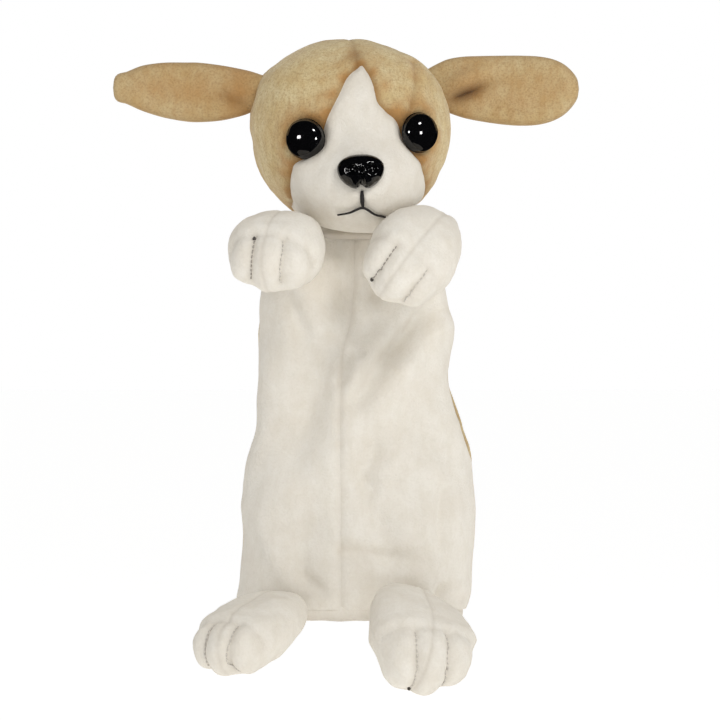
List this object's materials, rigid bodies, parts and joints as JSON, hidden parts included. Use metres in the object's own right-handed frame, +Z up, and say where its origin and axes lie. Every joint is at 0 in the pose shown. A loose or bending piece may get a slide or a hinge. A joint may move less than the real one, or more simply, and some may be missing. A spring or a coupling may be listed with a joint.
{
  "type": "plush puppy hand puppet",
  "caption": "Plush puppy hand puppet: a lined cloth sleeve with a hand opening, stuffed head, floppy ears, paws and feet, plastic eyes and nose.",
  "frame": {"origin": "middle of the hand opening at the bottom hem", "axes": "+Z up through the neck, the puppy looks along -Y, its own left side is +X"},
  "size_m": [0.2103, 0.1204, 0.2935],
  "materials": {
    "white_plush": "short-pile minky plush, off-white",
    "tan_plush": "short-pile minky plush, light tan",
    "black_plastic": "moulded, high gloss",
    "black_thread": "twisted embroidery thread",
    "grey_thread": "fine sewing thread sunk into the pile",
    "lining_cloth": "smooth knitted lining",
    "clear_plastic": "moulded, translucent",
    "fibre_fill": "loose polyester fibre"
  },
  "bodies": {
    "glove": {"front_panel_left": "white_plush", "front_panel_right": "white_plush", "back_panel": "tan_plush", "hem_band": "white_plush", "hand_sleeve_lining": "lining_cloth"},
    "neck": {"neck_band": "white_plush"},
    "head": {"head_cap_left": "tan_plush", "head_cap_right": "tan_plush", "head_back_panel": "tan_plush", "face_panel": "white_plush", "head_stuffing": "fibre_fill", "finger_pocket": "lining_cloth", "eye_left": "black_plastic", "eye_left_washer": "clear_plastic", "eye_right": "black_plastic", "eye_right_washer": "clear_plastic", "nose": "black_plastic", "nose_washer": "clear_plastic", "mouth_stem_stitch": "black_thread", "mouth_smile_stitch": "black_thread"},
    "ear_left": {"ear_left_front": "tan_plush", "ear_left_back": "tan_plush"},
    "ear_right": {"ear_right_front": "tan_plush", "ear_right_back": "tan_plush"},
    "arm_left": {"arm_left_outer_panel": "white_plush", "arm_left_inner_panel": "white_plush", "arm_left_stuffing": "fibre_fill", "arm_left_outer_toe_stitch": "grey_thread", "arm_left_inner_toe_stitch": "grey_thread"},
    "arm_right": {"arm_right_outer_panel": "white_plush", "arm_right_inner_panel": "white_plush", "arm_right_stuffing": "fibre_fill", "arm_right_outer_toe_stitch": "grey_thread", "arm_right_inner_toe_stitch": "grey_thread"},
    "leg_left": {"leg_left_outer_panel": "white_plush", "leg_left_inner_panel": "white_plush", "leg_left_stuffing": "fibre_fill", "leg_left_outer_toe_stitch": "grey_thread", "leg_left_inner_toe_stitch": "grey_thread"},
    "leg_right": {"leg_right_outer_panel": "white_plush", "leg_right_inner_panel": "white_plush", "leg_right_stuffing": "fibre_fill", "leg_right_outer_toe_stitch": "grey_thread", "leg_right_inner_toe_stitch": "grey_thread"}
  },
  "joints": [
    {"name": "head_turn", "type": "hinge", "parent": "glove", "child": "neck", "pos_m": [0, 0, 0.182], "axis": [0, 0, 1], "range_deg": [-18, 18]},
    {"name": "head_nod", "type": "hinge", "parent": "neck", "child": "head", "pos_m": [0, 0, 0.182], "axis": [-0.9939, -0.1045, -0.0349], "range_deg": [-4, 22]},
    {"name": "ear_left_flop", "type": "hinge", "parent": "head", "child": "ear_left", "pos_m": [0.05195, 0.00747, 0.24187], "axis": [0.1045, -0.9945, 0], "range_deg": [-50, 30]},
    {"name": "ear_right_flop", "type": "hinge", "parent": "head", "child": "ear_right", "pos_m": [-0.05639, -0.00392, 0.23806], "axis": [-0.1045, 0.9945, 0], "range_deg": [-50, 30]},
    {"name": "arm_left_hug", "type": "hinge", "parent": "glove", "child": "arm_left", "pos_m": [0.034, -0.02475, 0.167], "axis": [0, 0, 1], "range_deg": [-6, 50]},
    {"name": "arm_right_hug", "type": "hinge", "parent": "glove", "child": "arm_right", "pos_m": [-0.027, -0.02812, 0.167], "axis": [0, 0, -1], "range_deg": [-8, 30]},
    {"name": "leg_left_kick", "type": "hinge", "parent": "glove", "child": "leg_left", "pos_m": [0.032, -0.03349, 0.003], "axis": [-1, 0, 0], "range_deg": [-35, 40]},
    {"name": "leg_right_kick", "type": "hinge", "parent": "glove", "child": "leg_right", "pos_m": [-0.039, -0.03132, 0.003], "axis": [-1, 0, 0], "range_deg": [-35, 40]}
  ]
}
